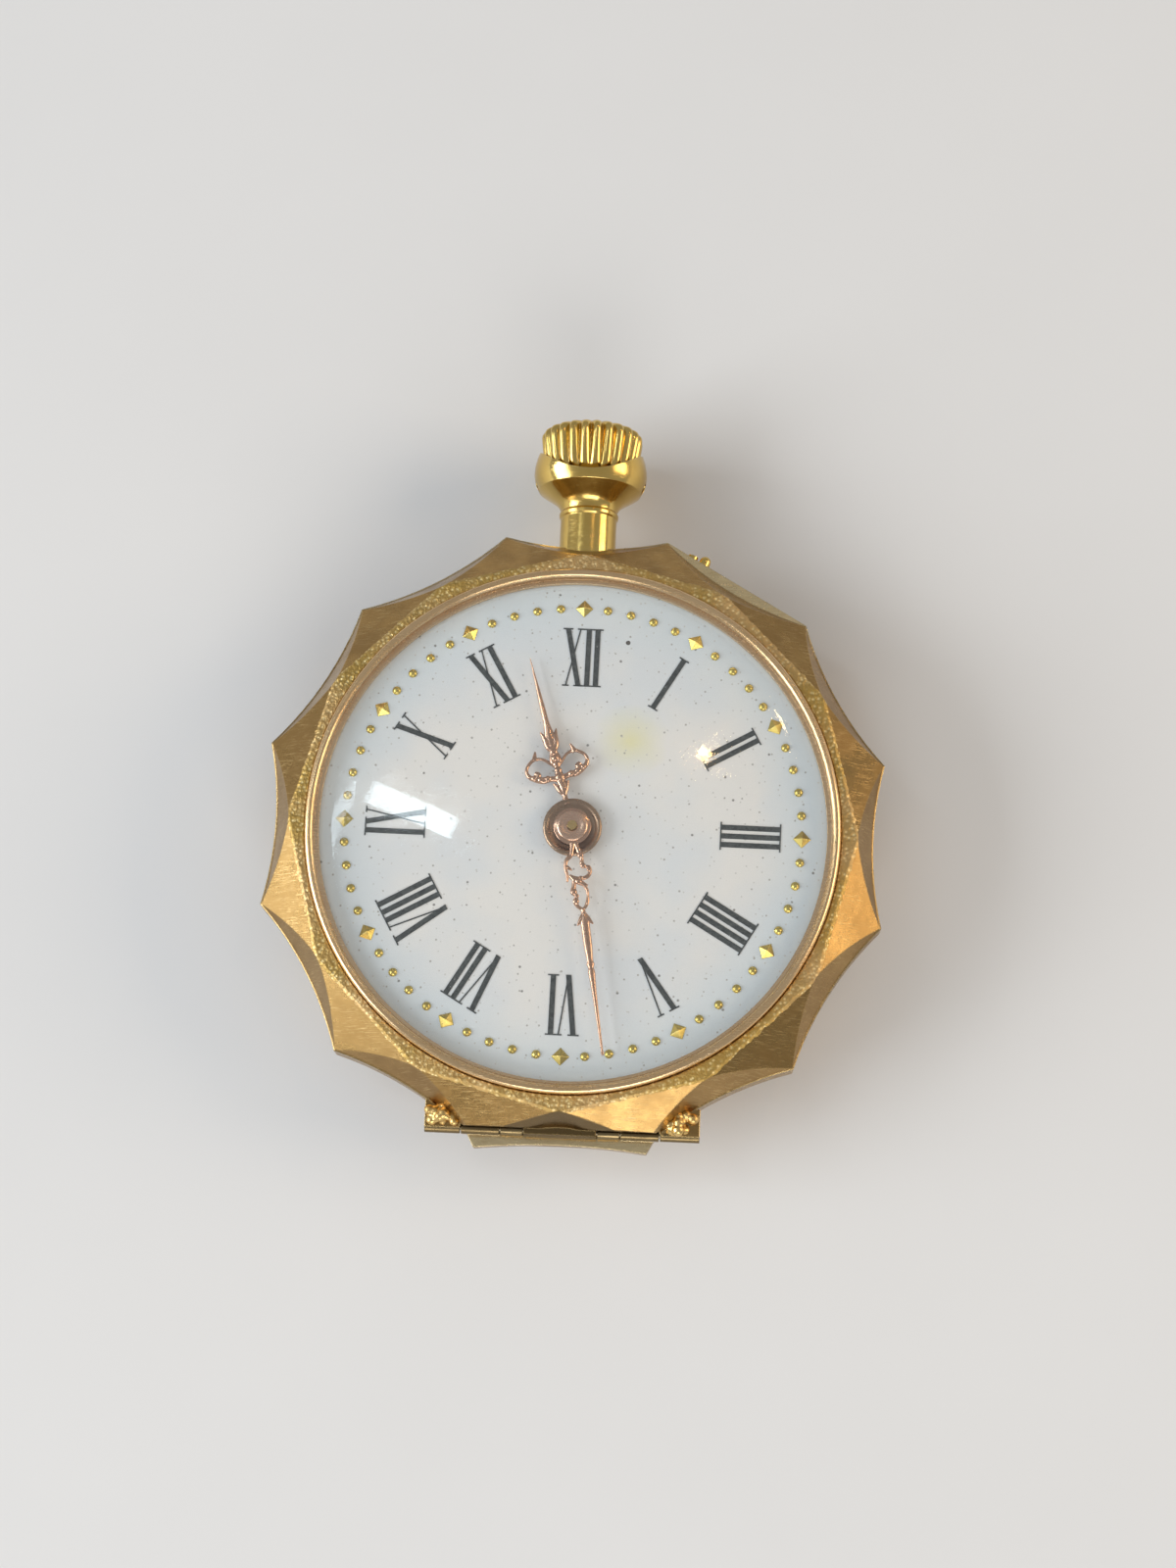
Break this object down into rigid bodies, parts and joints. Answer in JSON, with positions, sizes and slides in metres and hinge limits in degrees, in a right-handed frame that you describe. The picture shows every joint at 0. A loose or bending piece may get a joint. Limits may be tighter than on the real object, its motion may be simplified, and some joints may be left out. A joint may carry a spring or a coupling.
{
  "type": "fob watch",
  "caption": "Open-faced fob watch: twelve-cornered gold case, white enamel dial with Roman numerals, pierced hands, domed crystal, fluted crown, hinged back over a working movement.",
  "frame": {"origin": "centre of the flat of the back cover, on the dial axis", "axes": "+Z out through the dial and crystal, +Y towards the pendant and crown at twelve, +X to three o'clock"},
  "size_m": [0.0318, 0.0384, 0.0097],
  "materials": {
    "case_gold": "worn polished gold with fine scratches",
    "bezel_gold": "rose-toned polished gold",
    "crystal": "clear domed glass, lightly scratched",
    "solder": "rough cast gold solder",
    "hinge_steel": "dull drawn pin",
    "cuvette_gold": "fine-brushed gilt",
    "steel": "ground and polished steel",
    "blued_steel": "heat-blued polished steel",
    "brass": "gilt brass, circular grained",
    "gilt_plate": "frosted gilding",
    "ruby": "polished red stone",
    "enamel": "white vitreous enamel",
    "dot_gold": "polished gold",
    "black_enamel": "painted black enamel",
    "rose_gold": "rose gold, worn"
  },
  "bodies": {
    "case": {"case_band": "case_gold", "pendant": "case_gold", "bezel_ring": "bezel_gold", "crystal": "crystal", "solder_lumps": "solder", "hinge_pin": "hinge_steel", "pusher_guard": "case_gold", "crown_wheel_core": "steel", "click_spring": "steel", "main_plate": "gilt_plate", "barrel_bridge": "gilt_plate", "centre_bridge": "gilt_plate", "train_bridge": "gilt_plate", "escape_cock": "gilt_plate", "balance_cock": "gilt_plate", "jewels": "ruby", "bridge_screws": "blued_steel", "case_screws": "blued_steel", "dial": "enamel", "minute_dots": "dot_gold", "five_minute_studs": "dot_gold", "numerals": "black_enamel"},
    "back_cover": {"back_cover": "case_gold"},
    "cuvette": {"cuvette": "cuvette_gold"},
    "pusher": {"pusher": "case_gold"},
    "crown": {"crown": "case_gold", "stem": "steel", "winding_pinion": "steel"},
    "clutch": {"clutch_pinion": "steel"},
    "setting_lever": {"setting_lever": "steel"},
    "crown_wheel": {"crown_wheel": "steel"},
    "ratchet": {"ratchet_wheel": "steel", "ratchet_screw": "blued_steel", "barrel_arbor": "steel"},
    "click": {"click": "steel"},
    "barrel": {"barrel_drum": "brass", "barrel_cover": "brass", "mainspring": "steel"},
    "centre_wheel": {"centre_wheel": "brass"},
    "third_wheel": {"third_wheel": "brass"},
    "fourth_wheel": {"fourth_wheel": "brass"},
    "escape_wheel": {"escape_wheel": "steel"},
    "balance": {"balance_wheel": "brass", "balance_cylinder": "steel", "hairspring": "blued_steel"},
    "regulator": {"regulator": "steel"},
    "minute_hand": {"minute_hand": "rose_gold", "hand_boss": "rose_gold", "cannon_pinion": "steel"},
    "minute_wheel": {"minute_wheel": "brass"},
    "hour_hand": {"hour_hand": "rose_gold", "hour_wheel": "brass"},
    "setting_wheel": {"setting_wheel": "steel"}
  },
  "joints": [
    {"name": "back_cover_hinge", "type": "hinge", "parent": "case", "child": "back_cover", "pos_m": [0, -0.01525, 0.0045], "axis": [-1, 0, 0], "range_deg": [0, 105]},
    {"name": "cuvette_hinge", "type": "hinge", "parent": "case", "child": "cuvette", "pos_m": [0, -0.01525, 0.0045], "axis": [-1, 0, 0], "range_deg": [0, 84]},
    {"name": "pusher_press", "type": "slide", "parent": "case", "child": "pusher", "axis": [-0.3843, -0.9232, 0], "range_m": [0, 0.0003], "stiffness_N_per_m": 300},
    {"name": "setting_lever_rock", "type": "hinge", "parent": "case", "child": "setting_lever", "pos_m": [0.0062, 0.0084, 0.0042], "axis": [0, 0, 1], "range_deg": [0, 7.2]},
    {"name": "crown_turn", "type": "hinge", "parent": "case", "child": "crown", "pos_m": [0, 0.0105, 0.0039], "axis": [0, 1, 0], "continuous": true},
    {"name": "clutch_slide", "type": "slide", "parent": "crown", "child": "clutch", "axis": [0, -1, 0], "range_m": [0, 0.0006]},
    {"name": "crown_wheel_turn", "type": "hinge", "parent": "case", "child": "crown_wheel", "pos_m": [0, 0.008, 0.00245], "axis": [0, 0, -1], "continuous": true},
    {"name": "ratchet_turn", "type": "hinge", "parent": "case", "child": "ratchet", "pos_m": [-0.0034, 0.00383, 0.00245], "axis": [0, 0, -1], "continuous": true},
    {"name": "click_rock", "type": "hinge", "parent": "case", "child": "click", "pos_m": [-0.008, 0.0043, 0.00245], "axis": [0, 0, 1], "range_deg": [0, 8], "stiffness_Nm_per_rad": 0.00001},
    {"name": "fourth_wheel_turn", "type": "hinge", "parent": "case", "child": "fourth_wheel", "pos_m": [0.00331, -0.00259, 0.0039], "axis": [0, 0, -1], "continuous": true},
    {"name": "third_wheel_turn", "type": "hinge", "parent": "case", "child": "third_wheel", "pos_m": [0.00408, 0.00072, 0.0039], "axis": [0, 0, -1], "continuous": true},
    {"name": "centre_wheel_turn", "type": "hinge", "parent": "case", "child": "centre_wheel", "pos_m": [0, 0, 0.0033], "axis": [0, 0, -1], "continuous": true},
    {"name": "barrel_turn", "type": "hinge", "parent": "case", "child": "barrel", "pos_m": [-0.0034, 0.00383, 0.004], "axis": [0, 0, -1], "continuous": true},
    {"name": "escape_wheel_turn", "type": "hinge", "parent": "case", "child": "escape_wheel", "pos_m": [0.00211, -0.00513, 0.0037], "axis": [0, 0, -1], "continuous": true},
    {"name": "balance_swing", "type": "hinge", "parent": "case", "child": "balance", "pos_m": [0.0006, -0.00611, 0.003], "axis": [0, 0, 1], "range_deg": [-135, 135], "stiffness_Nm_per_rad": 0.00000005},
    {"name": "regulator_shift", "type": "hinge", "parent": "case", "child": "regulator", "pos_m": [0.0006, -0.00611, 0.00216], "axis": [0, 0, 1], "range_deg": [-20, 20]},
    {"name": "minute_hand_turn", "type": "hinge", "parent": "case", "child": "minute_hand", "pos_m": [0, 0, 0.007], "axis": [0, 0, -1], "continuous": true},
    {"name": "hour_hand_turn", "type": "hinge", "parent": "case", "child": "hour_hand", "pos_m": [0, 0, 0.0067], "axis": [0, 0, -1], "continuous": true},
    {"name": "minute_wheel_turn", "type": "hinge", "parent": "case", "child": "minute_wheel", "pos_m": [0.0008, 0.00226, 0.0052], "axis": [0, 0, -1], "continuous": true},
    {"name": "setting_wheel_turn", "type": "hinge", "parent": "case", "child": "setting_wheel", "pos_m": [0.0001, 0.0063, 0.0052], "axis": [0, 0, -1], "continuous": true}
  ],
  "couplings": [
    {"joint": "cuvette_hinge", "follows": "back_cover_hinge", "ratio": 0.8},
    {"joint": "setting_lever_rock", "follows": "pusher_press", "rad_per_m": 407.24},
    {"joint": "clutch_slide", "follows": "pusher_press", "ratio": 2},
    {"joint": "crown_wheel_turn", "follows": "crown_turn", "ratio": -0.56667},
    {"joint": "ratchet_turn", "follows": "crown_turn", "ratio": 0.425},
    {"joint": "third_wheel_turn", "follows": "fourth_wheel_turn", "ratio": -0.13333},
    {"joint": "centre_wheel_turn", "follows": "fourth_wheel_turn", "ratio": 0.016667},
    {"joint": "barrel_turn", "follows": "fourth_wheel_turn", "ratio": -0.0023148},
    {"joint": "escape_wheel_turn", "follows": "fourth_wheel_turn", "ratio": -10},
    {"joint": "hour_hand_turn", "follows": "minute_hand_turn", "ratio": 0.083333},
    {"joint": "minute_wheel_turn", "follows": "minute_hand_turn", "ratio": -0.33333},
    {"joint": "setting_wheel_turn", "follows": "minute_hand_turn", "ratio": 0.26087}
  ]
}
